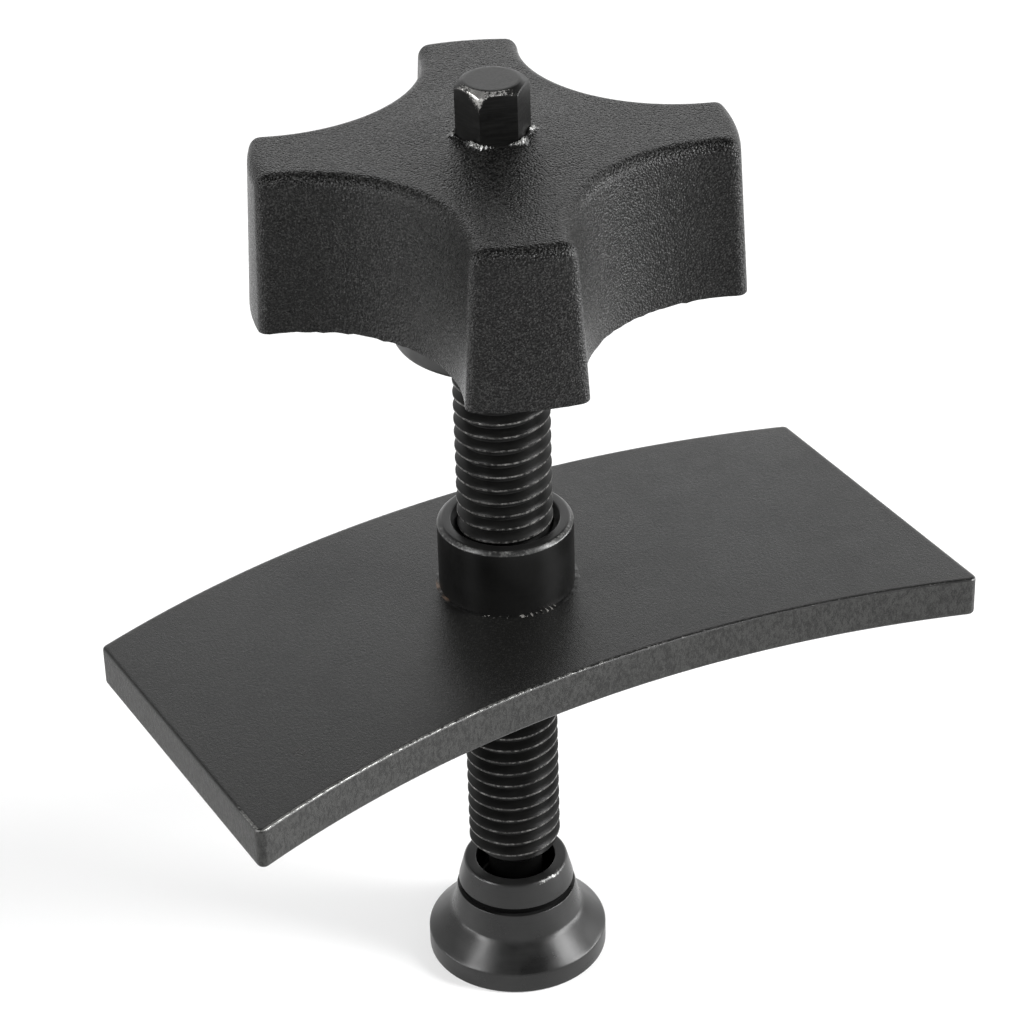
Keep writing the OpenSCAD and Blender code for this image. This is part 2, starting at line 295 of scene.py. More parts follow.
def make_mesh(name, points, faces, finishes, wear_and_painted_highlight=None, finish_of=None, sharp=35.0):
    """A mesh object with clean normals, its finishes, and a value at each vertex for worn spots and painted
    highlights.
    """
    same_point, no_edge = 0.002 * MM, 0.001 * MM
    shape = bmesh.new()
    corners = [shape.verts.new(p) for p in points]
    for f in faces:
        shape.faces.new([corners[i] for i in f])
    bmesh.ops.remove_doubles(shape, verts=shape.verts, dist=same_point)
    bmesh.ops.dissolve_degenerate(shape, edges=shape.edges, dist=no_edge)
    bmesh.ops.recalc_face_normals(shape, faces=shape.faces)
    mesh = bpy.data.meshes.new(name)
    for finish in finishes:
        mesh.materials.append(finish)
    if finish_of:
        for face in shape.faces:
            face.material_index = finish_of(face.calc_center_median(), face.normal)
    shape.to_mesh(mesh)
    shape.free()
    mesh.shade_smooth()
    mesh.set_sharp_from_angle(angle=math.radians(sharp))
    values = mesh.attributes.new("wear_and_painted_highlight", "FLOAT", "POINT")
    if wear_and_painted_highlight:
        values.data.foreach_set("value", [wear_and_painted_highlight(v.co) for v in mesh.vertices])
    piece = bpy.data.objects.new(name, mesh)
    bpy.context.scene.collection.objects.link(piece)
    return piece


def seat(piece, body, slot, *nodes):
    """Puts a piece on its body and hides the solids that it stands for; its slot is not used."""
    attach(piece, body)
    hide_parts(*nodes)


def waviness(x, y, z, scale):
    """Smooth noise from -1 to 1 at a point in metres."""
    return noise.noise(Vector((x, y, z)) * scale)


def faded(value, low, high):
    """Smooth step from 0 at low to 1 at high."""
    t = min(1.0, max(0.0, (value - low) / (high - low)))
    return t * t * (3 - 2 * t)


def away_from(a, middle):
    """Signed turn from one angle to another, at most half a turn either way."""
    return (a - middle + math.pi) % FULL_TURN - math.pi


# Finish helpers


class Finish:
    """A node material under construction."""

    def __init__(self, name):
        self.material = bpy.data.materials.new(name)
        self.material.use_nodes = True
        self.tree = self.material.node_tree
        self.shader = self.tree.nodes["Principled BSDF"]
        self.place = self.add("ShaderNodeTexCoord").outputs["Object"]

    def add(self, kind, **settings):
        """A new node with its settings."""
        node = self.tree.nodes.new(kind)
        for key, value in settings.items():
            setattr(node, key, value)
        return node

    def put(self, socket, value):
        """Links a socket to another one, or sets it to a number or colour."""
        if isinstance(value, bpy.types.NodeSocket):
            self.tree.links.new(value, socket)
        else:
            socket.default_value = (*value, 1.0) if socket.type == "RGBA" else value

    def feed(self, node, **values):
        """Sets or links a node's inputs by name, with spaces as underscores."""
        for key, value in values.items():
            self.put(node.inputs[key.replace("_", " ")], value)
        return node

    def axes(self):
        """The object's own X, Y and Z, as sockets by name."""
        return self.feed(self.add("ShaderNodeSeparateXYZ"), Vector=self.place).outputs

    def grain(self, scale, detail=3.0, roughness=0.55, stretch=None):
        """Noise in the object's own space; scale is in features for each metre."""
        place = self.place
        if stretch:
            place = self.feed(self.add("ShaderNodeMapping"), Vector=place, Scale=stretch).outputs["Vector"]
        node = self.add("ShaderNodeTexNoise")
        return self.feed(node, Vector=place, Scale=scale, Detail=detail, Roughness=roughness).outputs["Fac"]

    def level(self, value, low, high, to_low=0.0, to_high=1.0):
        """Moves a value from one span to another and holds it there."""
        node = self.add("ShaderNodeMapRange", interpolation_type="SMOOTHSTEP")
        self.feed(node, Value=value, From_Min=low, From_Max=high, To_Min=to_low, To_Max=to_high)
        return node.outputs["Result"]

    def reckoned(self, operation, *values):
        """One step of arithmetic on numbers or sockets."""
        node = self.add("ShaderNodeMath", operation=operation)
        for socket, value in zip(node.inputs, values):
            self.put(socket, value)
        return node.outputs[0]

    def sum(self, a, b, factor=1.0):
        """a plus b times factor."""
        return self.reckoned("MULTIPLY_ADD", b, factor, a)

    def times(self, a, b):
        """a times b."""
        return self.reckoned("MULTIPLY", a, b)

    def mixed(self, factor, first, second):
        """Colour between two colours or sockets."""
        node = self.feed(self.add("ShaderNodeMix", data_type="RGBA"), Factor=factor)
        colour_a, colour_b = node.inputs[6], node.inputs[7]
        self.put(colour_a, first)
        self.put(colour_b, second)
        return node.outputs[2]

    def worn(self, chips, low=0.92, high=1.12):
        """Where the vertex value for worn spots and painted highlights and the chips' noise together pass a
        limit.
        """
        chips_share = 0.9
        attribute = self.add("ShaderNodeAttribute", attribute_name="wear_and_painted_highlight")
        return self.level(self.sum(attribute.outputs["Fac"], chips, chips_share), low, high)

    def bumped(self, height, distance, strength=1.0):
        """Normal of a relief of some depth."""
        node = self.feed(self.add("ShaderNodeBump"), Height=height, Distance=distance, Strength=strength)
        return node.outputs["Normal"]

    def finish(self, **sockets):
        """Fills the shader's sockets and gives the material."""
        self.feed(self.shader, **sockets)
        return self.material


def scaled(tint, factor):
    """A colour made darker or lighter."""
    return tuple(min(1.0, c * factor) for c in tint)


def coated_steel(name, coat, bare, roughness, grain_size, grain_depth):
    """Dark coat on steel: mottled, finely grained, and bright where the wear value lets chips through."""
    f = Finish(name)
    mottle, sheen = 0.25, 0.07
    clouds = f.grain(55.0, detail=6.0)
    fine = f.grain(1.0 / grain_size, detail=4.0, roughness=0.65)
    patches = f.grain(260.0, detail=5.0)
    shade = f.sum(clouds, patches, 0.5)
    tint = f.mixed(f.level(shade, 0.45, 1.0), scaled(coat, 1 - mottle), scaled(coat, 1 + mottle))
    tint = f.mixed(f.level(fine, 0.50, 0.72, 0.0, 0.6), tint, scaled(coat, 4.0))
    worn = f.worn(f.grain(1500.0, detail=5.0, roughness=0.7))
    return f.finish(
        Base_Color=f.mixed(worn, tint, bare),
        Metallic=worn,
        Roughness=f.level(shade, 0.4, 1.1, roughness + sheen, roughness - sheen),
        Specular_IOR_Level=0.45,
        Normal=f.bumped(fine, grain_depth, 0.6),
    )


def cut_steel(name, tint, bare):
    """Grainy cut edge of a plate: pits, light grains and worn spots."""
    f = Finish(name)
    coarse = f.grain(1500.0, detail=3.0, roughness=0.6, stretch=(1.0, 1.0, 0.55))
    fine = f.grain(3600.0, detail=3.0, roughness=0.7)
    relief = f.sum(coarse, fine, 0.9)
    base = f.mixed(f.level(relief, 0.78, 1.12), scaled(tint, 0.75), scaled(tint, 1.7))
    worn = f.worn(f.grain(1500.0, detail=5.0, roughness=0.7))
    return f.finish(
        Base_Color=f.mixed(worn, base, bare),
        Metallic=worn,
        Roughness=f.level(coarse, 0.35, 0.7, 0.38, 0.6),
        Specular_IOR_Level=0.2,
        Normal=f.bumped(relief, 0.10 * MM, 0.75),
    )


def sand_plastic(name, tint):
    """Moulded plastic with a sand grain: small round bumps, grey specks that are partly the grain's own tone and
    partly painted glint, and a painted glint colour on the bumps' crowns.
    """
    f = Finish(name)
    cells = f.feed(
        f.add("ShaderNodeTexVoronoi", feature="SMOOTH_F1"), Vector=f.place, Scale=3000.0, Smoothness=0.3
    )
    middle = cells.outputs["Distance"]
    soft = f.grain(3000.0, detail=2.0, roughness=0.5)
    relief = f.sum(f.times(soft, 0.5), middle, -0.8)
    clouds = f.level(f.grain(70.0, detail=5.0), 0.3, 0.7)
    # Grey specks: partly the grain's own tone, partly painted glint.
    specks = f.level(f.grain(3300.0, detail=2.0, roughness=0.6), 0.46, 0.66)
    # Painted glint: a colour twelve times the tint on the crowns of the bumps.
    painted_glints = f.times(f.level(middle, 0.46, 0.18), f.level(f.grain(2300.0, detail=1.0), 0.46, 0.62))
    base = f.mixed(clouds, scaled(tint, 0.4), scaled(tint, 0.9))
    base = f.mixed(specks, base, scaled(tint, 7.0))
    return f.finish(
        Base_Color=f.mixed(painted_glints, base, scaled(tint, 12.0)),
        Roughness=f.level(soft, 0.3, 0.7, 0.22, 0.34),
        Specular_IOR_Level=0.165,
        Normal=f.bumped(relief, 0.17 * MM),
    )


def smooth_plastic(name, tint, roughness):
    """Plastic as it left a polished mould: shallow waves and a soft gloss."""
    f = Finish(name)
    waves = f.grain(420.0, detail=4.0)
    clouds = f.grain(90.0, detail=4.0)
    return f.finish(
        Base_Color=f.mixed(f.level(clouds, 0.3, 0.7), scaled(tint, 0.8), scaled(tint, 1.3)),
        Roughness=f.level(waves, 0.3, 0.7, roughness - 0.06, roughness + 0.08),
        Specular_IOR_Level=0.5,
        Normal=f.bumped(waves, 0.05 * MM, 0.5),
    )


def flash_plastic(name, tint, painted_lip_highlight):
    """Thin plastic lip: glossy and crinkled, with painted highlights in a lighter colour where the vertex value
    marks the tops of its curls.
    """
    f = Finish(name)
    crinkles = f.grain(1500.0, detail=4.0, roughness=0.6)
    # Painted highlight: the lighter colour shows where the vertex value marks the curls' tops.
    worn = f.worn(f.grain(3200.0, detail=3.0), 0.92, 1.08)
    return f.finish(
        Base_Color=f.mixed(worn, tint, painted_lip_highlight),
        Roughness=f.level(crinkles, 0.3, 0.7, 0.14, 0.26),
        Specular_IOR_Level=0.6,
        Normal=f.bumped(crinkles, 0.12 * MM, 0.8),
    )


def turned_steel(name, tint, bare, roughness, specular, rings_size=0.22 * MM, wear_span=(0.92, 1.12)):
    """Turned and blackened steel: fine tool rings about the axis, clouds, and bright worn edges."""
    f = Finish(name)
    rings_depth = 0.006 * MM
    rings = f.grain(1.0 / rings_size, detail=2.0, stretch=(0.02, 0.02, 1.0))
    clouds = f.grain(120.0, detail=5.0)
    fine = f.grain(2400.0, detail=4.0, roughness=0.65)
    shade = f.sum(clouds, rings, 0.35)
    base = f.mixed(f.level(shade, 0.45, 0.9), scaled(tint, 0.7), scaled(tint, 1.4))
    worn = f.worn(f.grain(1300.0, detail=5.0, roughness=0.7), *wear_span)
    return f.finish(
        Base_Color=f.mixed(worn, base, bare),
        Metallic=worn,
        Roughness=f.level(clouds, 0.3, 0.7, roughness - 0.05, roughness + 0.08),
        Specular_IOR_Level=specular,
        Normal=f.bumped(f.sum(rings, fine, 0.5), rings_depth, 0.6),
    )


def hexagon_steel(name, tint, bare):
    """Blackened hexagon: milled lines across its sides, turned rings on its top, a top painted lighter as painted
    light, and bright worn corners.
    """
    f = Finish(name)
    line_size, ring_size = 0.30 * MM, 0.45 * MM
    lines = f.grain(1.0 / line_size, detail=2.0, stretch=(0.06, 0.06, 1.0))
    fine = f.grain(2400.0, detail=4.0)
    axes = f.axes()
    plan = f.feed(f.add("ShaderNodeCombineXYZ"), X=axes["X"], Y=axes["Y"])
    reach = f.add("ShaderNodeVectorMath", operation="LENGTH")
    f.put(reach.inputs[0], plan.outputs["Vector"])
    waves = f.reckoned("SINE", f.times(reach.outputs["Value"], FULL_TURN / ring_size))
    on_top = f.level(axes["Z"], SCREW_HIGH.z - 0.06 * MM, SCREW_HIGH.z - 0.02 * MM)
    base = f.mixed(f.level(lines, 0.35, 0.7), scaled(tint, 0.5), scaled(tint, 1.3))
    # Painted light: the top face is 2.7 times lighter than the sides, as a lit top.
    base = f.mixed(on_top, base, scaled(tint, 2.7))
    worn = f.worn(f.grain(2900.0, detail=5.0, roughness=0.8), 0.82, 1.0)
    relief = f.sum(f.sum(lines, fine, 0.4), f.times(waves, on_top), 0.12)
    return f.finish(
        Base_Color=f.mixed(worn, base, bare),
        Metallic=worn,
        Roughness=f.level(fine, 0.3, 0.7, 0.30, 0.42),
        Specular_IOR_Level=0.18,
        Normal=f.bumped(relief, 0.012 * MM, 0.7),
    )


def seam_steel(name, tint, bare, heat):
    """Joint metal round the collar: heat tint on the left and bright dots."""
    f = Finish(name)
    patches = f.grain(180.0, detail=4.0)
    dots = f.grain(1700.0, detail=2.0, roughness=0.5)
    axes = f.axes()
    left = f.level(axes["X"], -10.0 * MM, -11.2 * MM)
    behind = f.level(axes["Y"], -1.4 * MM, 0.2 * MM)
    heated = f.times(f.times(left, behind), f.level(patches, 0.36, 0.52))
    worn = f.worn(dots, 0.95, 1.05)
    return f.finish(
        Base_Color=f.mixed(worn, f.mixed(heated, tint, heat), bare),
        Metallic=worn,
        Roughness=f.level(dots, 0.3, 0.7, 0.30, 0.5),
        Specular_IOR_Level=0.4,
        Normal=f.bumped(dots, 0.05 * MM, 0.7),
    )


def spring_wire(name, tint):
    """Drawn spring wire: long faint draw marks on bright steel."""
    f = Finish(name)
    marks = f.grain(1600.0, detail=3.0, stretch=(1.0, 1.0, 0.2))
    return f.finish(
        Base_Color=f.mixed(f.level(marks, 0.3, 0.7), scaled(tint, 0.7), scaled(tint, 1.3)),
        Metallic=1.0,
        Roughness=f.level(marks, 0.3, 0.7, 0.28, 0.42),
        Normal=f.bumped(marks, 0.01 * MM, 0.5),
    )


# Plate


def plate_outline(s, inset):
    """Points of the plate's outline, inset by some length, from the right end round to the same end."""
    end_steps, corner_steps, edge_steps = 24, 8, 60
    half = (PLATE_HIGH.x - PLATE_LOW.x) / 2 - inset
    far_y = s.far_edge - s.edge_radius
    near_y = far_y - s.width
    far_r, near_r = s.edge_radius - inset, s.edge_radius + inset
    rho = max(s.corner_rounding - inset, s.corner_rounding * 0.4)
    far_k = Vector((half - rho, far_y + math.sqrt((far_r - rho) ** 2 - (half - rho) ** 2)))
    near_k = Vector((half - rho, near_y + math.sqrt((near_r + rho) ** 2 - (half - rho) ** 2)))
    far_lean = math.atan2(far_k.y - far_y, far_k.x)
    near_lean = math.atan2(near_k.y - near_y, near_k.x)

    def arc(centre, radius, start, end, steps):
        angles = [start + (end - start) * k / steps for k in range(steps)]
        return [(centre[0] + radius * math.cos(a), centre[1] + radius * math.sin(a)) for a in angles]

    right = [(half, near_k.y + (far_k.y - near_k.y) * k / end_steps) for k in range(end_steps)]
    right += arc(far_k, rho, 0.0, far_lean, corner_steps)
    right += arc((0.0, far_y), far_r, far_lean, QUARTER_TURN, edge_steps)
    left = [(-x, y) for x, y in reversed(right)]
    near_right = arc((0.0, near_y), near_r, QUARTER_TURN, near_lean, edge_steps)
    near_right += arc(near_k, rho, near_lean + math.pi, FULL_TURN, corner_steps + 1)
    near_left = [(-x, y) for x, y in reversed(near_right)]
    loop = right + [(0.0, far_y + far_r)] + left + near_left[:-1] + near_right
    return [(x + PLATE_MIDDLE, y) for x, y in loop]


def build_plate(s):
    """Flat plate, curved in plan, with rounded edges and the hole that holds the collar."""
    low, high, e, under = PLATE_LOW.z, PLATE_HIGH.z, s.edge_rounding, s.lower_rounding
    hole = COLLAR_HIGH.x + 0.02 * MM
    collar_zone, near_side = 20 * MM, -20 * MM
    round_steps, side_steps = 4, 6
    bends = [QUARTER_TURN * k / round_steps for k in range(round_steps + 1)]
    margin = plate_outline(s, 3.0 * MM)
    rings = []

    def ring(inset, z):
        rings.append([(x, y, z) for x, y in plate_outline(s, inset)])

    def face_ring(z, blend):
        """Ring on a flat face, from the hole at 0 to the margin at 1."""
        points = []
        for x, y in margin:
            d = math.hypot(x, y)
            r = hole + (d - hole) * blend
            points.append((x / d * r, y / d * r, z))
        rings.append(points)

    for a in bends:
        ring(under * (1 - math.sin(a)), low + under * (1 - math.cos(a)))
    for k in range(1, side_steps):
        ring(0.0, low + under + (high - low - e - under) * k / side_steps)
    for a in bends:
        ring(e * (1 - math.cos(a)), high - e + e * math.sin(a))
    ring(1.7 * e, high)
    for blend in (1.0, 0.66, 0.33, 0.0):
        face_ring(high, blend)
    for blend in (0.0, 0.33, 0.66, 1.0):
        face_ring(low, blend)

    def along_edge(p):
        x, far_y = p.x - PLATE_MIDDLE, s.far_edge - s.edge_radius
        d_far = s.edge_radius - math.hypot(x, p.y - far_y)
        d_near = math.hypot(x, p.y - far_y + s.width) - s.edge_radius
        return min(d_far, d_near, PLATE_HIGH.x - PLATE_MIDDLE - abs(x)) < 1.2 * e

    def wear_and_painted_highlight(p):
        """Bare metal along the edges, most of it on the near edge's left."""
        bottom_wear, far_wear, near_wear, left_wear = 0.50, 0.34, 0.42, 0.17
        flat = abs(p.z - high) < 0.001 * MM and not along_edge(p)
        if flat or abs(p.z - high) >= 0.6 * e or math.hypot(p.x, p.y) <= collar_zone:
            return bottom_wear if low < p.z < low + 0.5 * under else 0.0
        if p.y < near_side - 0.2 * abs(p.x):
            return near_wear + left_wear * faded(-p.x, -30 * MM, 50 * MM)
        return far_wear

    def finish_of(centre, normal):
        return 1 if abs(normal.z) < 0.5 and math.hypot(centre.x, centre.y) > collar_zone else 0

    coat = coated_steel(
        "plate_coat", s.coat, s.bare_metal, roughness=0.34, grain_size=0.36 * MM, grain_depth=0.07 * MM
    )
    side = cut_steel("plate_cut_side", s.cut_side, s.bare_metal)
    points, faces = loft(rings, close_loop=True)
    piece = make_mesh("plate_body", points, faces, [coat, side], wear_and_painted_highlight, finish_of)
    seat(piece, "plate", "black_steel", "pressure_plate")


# Collar


def build_collar(s):
    """Turned bush with a countersunk bore, slimmer above the plate than in its hole."""
    low, high, out = COLLAR_LOW.z, COLLAR_HIGH.z, s.upper_radius
    seated, step = COLLAR_HIGH.x, PLATE_HIGH.z - 0.5 * MM
    c, k, bore = s.chamfer, s.countersink, s.bore_radius
    lower_cone, edge_wear = 0.6 * MM, 0.30
    line = softened([
        (bore + lower_cone, low, 0.1 * MM), (seated, low, 0.15 * MM), (seated, step, 0.05 * MM),
        (out, step, 0.05 * MM), (out, high - c, 0.3 * MM), (out - c, high, 0.3 * MM),
        (bore + k, high, 0.15 * MM), (bore, high - k, 0.1 * MM), (bore, low + lower_cone, 0.1 * MM),
    ])
    points, faces = revolved(divided(line, 1.5 * MM), 160)

    def wear_and_painted_highlight(p):
        r = math.hypot(p.x, p.y)
        return edge_wear if p.z > high - 1.15 * c and r > out - 1.05 * c else 0.0

    def finish_of(centre, normal):
        return 1 if centre.z > high - 1.05 * c and math.hypot(centre.x, centre.y) > bore + 0.8 * k else 0

    steel = turned_steel(
        "collar_black", s.coat, s.bare_metal, roughness=0.36, specular=0.13, wear_span=(0.6, 1.3)
    )
    # Painted light: the top and its chamfer get a copy of the coat painted 1.6 times lighter, and glossier, than
    # the sides.
    top = turned_steel(
        "collar_top_painted_light", scaled(s.coat, 1.6), s.bare_metal, roughness=0.32, specular=0.42, wear_span=(0.7, 1.2)
    )
    piece = make_mesh("collar_bush", points, faces, [steel, top], wear_and_painted_highlight, finish_of)
    seat(piece, "plate", "black_steel", "threaded_collar")


def build_seam(s):
    """Low seam in the corner between the collar and the plate, scraped bright in front, then beaded."""
    per_bead = 10
    columns, foot = per_bead * s.seam_beads, SEAM_HIGH.z - 0.02 * MM
    inner, outer = s.upper_radius - 0.05 * MM, SEAM_HIGH.x
    section = ((0.0, 0.0), (0.0, 1.0), (0.35, 0.8), (0.7, 0.45), (1.0, 0.0))

    def crest(a):
        """How near an angle lies to the middle of a bead, from 0 to 1."""
        if not s.beads_start < a < s.beads_end:
            return 0.4
        drift = 0.8 * waviness(math.cos(a), math.sin(a), 4.0, 7.0)
        return (0.5 + 0.5 * math.cos(s.seam_beads * a + drift)) ** 2

    rings = []
    for across, rise in section:
        ring = []
        for i in range(columns):
            a = FULL_TURN * (i / columns - 0.5)
            wave = waviness(math.cos(a), math.sin(a), 0.0, 9.0)
            height = (0.13 + 0.05 * wave + 0.07 * crest(a)) * MM
            reach = outer + (-0.20 + 0.15 * math.cos(a) + 0.06 * wave + 0.12 * crest(a)) * MM
            ring.append(polar(inner + (reach - inner) * across, a, foot + height * rise))
        rings.append(ring)
    points, faces = loft(rings, close_loop=True)

    def wear_and_painted_highlight(p):
        scraped, plain, between_beads, on_beads = 0.42, 0.15, 0.20, 0.44
        a = math.atan2(p.y, p.x)
        if s.beads_start < a < s.beads_end:
            return between_beads + on_beads * crest(a)
        return scraped if s.scrape_start < a < s.beads_start else plain

    metal = seam_steel("seam_metal", s.coat, s.seam_metal, s.seam_tint)
    piece = make_mesh("collar_seam", points, faces, [metal], wear_and_painted_highlight)
    seat(piece, "plate", "weld_steel", "collar_weld")


# Screw


def hex_radius(a, flats, turn):
    """Distance from the axis to the hexagon's side at an angle."""
    sector = math.pi / 3
    return flats / 2 / math.cos((a - turn) % sector - sector / 2)


def hex_chamfer(s, r, sunk=0.12 * MM):
    """Height of the chamfer round the hexagon's top at a radius, sunk a little below the top's edge."""
    slope = 0.6
    return SCREW_HIGH.z - sunk - (r - s.hex_top) * slope


def thread_rows(s):
    """Points and quads of the thread from its lower end to its shoulder, as rows of a helix."""
    columns, crest, root = s.columns, s.thread_radius, s.thread_radius - s.thread_depth
    low, high, foot = s.thread_start, s.thread_end, s.thread_radius - s.end_chamfer
    flank, edge, fillet = root + 0.50 * s.thread_depth, crest - 0.05 * MM, root + 0.02 * MM
    shoulder_slope = 6
    section = (
        (-0.50, root), (-0.41, fillet), (-0.25, flank), (-0.09, edge), (-0.06, crest),
        (0.06, crest), (0.09, edge), (0.25, flank), (0.41, fillet),
    )
    turns = math.ceil((high - low) / s.pitch) + 2
    points = []
    for k in range(-1, turns):
        for along, r in section:
            for i in range(columns):
                a = s.hex_turn + FULL_TURN * i / columns
                z = low + s.pitch * (k + along + (a - s.thread_turn) / FULL_TURN)
                z = min(high, max(low, z))
                limit = foot + min(z - low, (high - z) * shoulder_slope)
                points.append(polar(min(r, limit), a, z))
    rows = len(points) // columns
    faces = []
    for j in range(rows - 1):
        for i in range(columns):
            n, shift = (i + 1) % columns, len(section) if i == columns - 1 else 0
            if j + 1 + shift < rows:
                here, above, far = j * columns, (j + 1) * columns, shift * columns
                faces.append((here + i, here + far + n, above + far + n, above + i))
    return points, faces


def ball_and_neck(s):
    """Line of (radius, height) points from the ball's lowest point up to the thread's lower end."""
    ball_steps = 33
    low, neck, ball = s.thread_start, s.neck_radius, s.ball_radius
    sweep = QUARTER_TURN + math.acos(neck / ball)
    line = [(0.0, s.ball_height - ball)]
    for k in range(1, ball_steps):
        a = -QUARTER_TURN + k / ball_steps * sweep
        line.append((ball * math.cos(a), s.ball_height + ball * math.sin(a)))
    ball_top = s.ball_height + math.sqrt(ball ** 2 - neck ** 2)
    return line + [
        (neck, ball_top + 0.2 * MM), (neck, low - 0.9 * MM), (neck + 0.12 * MM, low - 0.4 * MM),
        (neck + 0.5 * MM, low), (s.thread_radius - s.end_chamfer, low),
    ]


def hexagon_rings(s):
    """Rings from the thread's shoulder up the hexagon's sides and over its chamfered top."""
    top, shoulder, base, flat = SCREW_HIGH.z, s.thread_end, KNOB_HIGH.z - 1.0 * MM, s.hex_top
    side_steps = 24
    angles = [s.hex_turn + FULL_TURN * i / s.columns for i in range(s.columns)]
    sides = [hex_radius(a, s.hex_flats, s.hex_turn) for a in angles]
    rings = [[polar(s.thread_radius - s.end_chamfer, a, shoulder) for a in angles]]

    def ring(radius_of, height_of):
        radii = [radius_of(side) for side in sides]
        rings.append([polar(r, a, height_of(r)) for r, a in zip(radii, angles)])

    ring(lambda side: side, lambda r: shoulder)
    for k in range(side_steps + 1):
        ring(lambda side: side, lambda r: base + (hex_chamfer(s, r) - base) * k / side_steps)
    for inward in (0.06, 0.2, 0.45, 0.7, 0.92):
        ring(lambda side: side + (flat - side) * inward, lambda r: hex_chamfer(s, r, 0.02 * MM))
    ring(lambda side: flat - 0.12 * MM, lambda r: top)
    for part in (0.87, 0.65, 0.44, 0.22, 0.0):
        ring(lambda side: flat * part, lambda r: top)
    return rings


def build_screw(s):
    """One turned piece: ball, neck, thread and hexagon end."""
    points, faces = thread_rows(s)
    neck = revolved(ball_and_neck(s), s.columns, close_loop=False, start=s.hex_turn)
    for more, quads in (neck, loft(hexagon_rings(s))):
        faces += [tuple(i + len(points) for i in quad) for quad in quads]
        points += more
    worn_corner = s.hex_turn + math.pi
    left_reach, right_reach, down_reach = 4.2 * MM, 1.4 * MM, 2.9 * MM

    def hexagon_wear(r, p):
        """Bare metal on the hexagon's chamfer, and a chipped patch below its worn corner."""
        if r < s.hex_top - 0.05 * MM:
            return 0.0
        drop = hex_chamfer(s, r) - p.z
        turn = away_from(math.atan2(p.y, p.x), worn_corner)
        chamfer = 0.22 + 0.20 * (1 - faded(abs(turn), 0.5, 1.5)) if drop < 0.25 * MM else 0.0
        along = r * (-turn / left_reach if turn < 0 else turn / right_reach)
        patch = 1.0 - along - max(0.0, drop) / down_reach
        return max(chamfer, min(0.54, 0.20 + 0.48 * patch))

    def wear_and_painted_highlight(p):
        crest_wear = 0.40
        r = math.hypot(p.x, p.y)
        if p.z > KNOB_HIGH.z:
            return hexagon_wear(r, p)
        on_crest = p.z > s.thread_start and r > s.thread_radius - 0.03 * MM
        return crest_wear if on_crest else 0.0

    def finish_of(centre, normal):
        if centre.z > KNOB_HIGH.z - 1.1 * MM:
            return 1
        return 2 if centre.z < s.thread_start else 0

    oxide = turned_steel(
        "screw_oxide", s.oxide, s.bare_metal, roughness=0.34, specular=0.14, wear_span=(0.72, 1.5)
    )
    hexagon = hexagon_steel("hexagon_oxide", s.oxide, s.bare_metal)
    # Painted shade: the ball and the neck, in and just above the foot's bore, get a copy of the oxide 0.3 times
    # as light, with almost no gloss.
    neck_painted_shade = turned_steel("neck_painted_shade", scaled(s.oxide, 0.3), s.bare_metal, roughness=0.5, specular=0.04)
    piece = make_mesh("screw_body", points, faces, [oxide, hexagon, neck_painted_shade], wear_and_painted_highlight, finish_of, sharp=28.0)
    seat(piece, "screw", "black_steel", "drive_screw")


# Knob


def star_ring(s, inset, corner, z, factor=1.0):
    """Points of the knob's outline, inset from the lower outline, with rounded upright corners."""
    end_steps, corner_steps, hollow_steps = 8, 9, 44
    end_r, hollow_r = s.arm_radius - inset, s.hollow_radius + inset
    arm, reach = end_r - corner, hollow_r + corner
    lean = math.acos((arm ** 2 + s.hollow_distance ** 2 - reach ** 2) / (2 * arm * s.hollow_distance))
    turn = math.pi / 4 - lean

    def at(a):
        return Vector((math.cos(a), math.sin(a)))

    hollow, pivot = s.hollow_distance * at(math.pi / 4), arm * at(turn)
    bend = math.atan2(hollow.y - pivot.y, hollow.x - pivot.x)
    sweep = QUARTER_TURN - 2 * bend
    end = [end_r * at(turn * i / end_steps) for i in range(end_steps)]
    corner_arc = [
        pivot + corner * at(turn + (bend - turn) * i / corner_steps) for i in range(corner_steps + 1)
    ]
    hollow_arc = [
        hollow + hollow_r * at(bend + math.pi + sweep * i / hollow_steps) for i in range(1, hollow_steps)
    ]
    quarter = end + corner_arc + hollow_arc
    quarter += [Vector((p.y, p.x)) for p in reversed(corner_arc)]
    quarter += [Vector((p.y, p.x)) for p in reversed(end[1:])]
    points = []
    for n in range(4):
        spin = Matrix.Rotation(s.turn + n * QUARTER_TURN, 2)
        points += [(*(spin @ p * factor), z) for p in quarter]
    return points


def circle_like(ring, radius_of, z):
    """Ring with the same directions as another ring and a radius of its own at each angle."""
    angles = [math.atan2(y, x) for x, y, _ in ring]
    return [polar(radius_of(a), a, z) for a in angles]


def draft_inset(s, z):
    """Inset that the walls' draft gives at a height."""
    return s.draft * (z - s.arm_bottom) / (s.arm_top - s.arm_bottom)


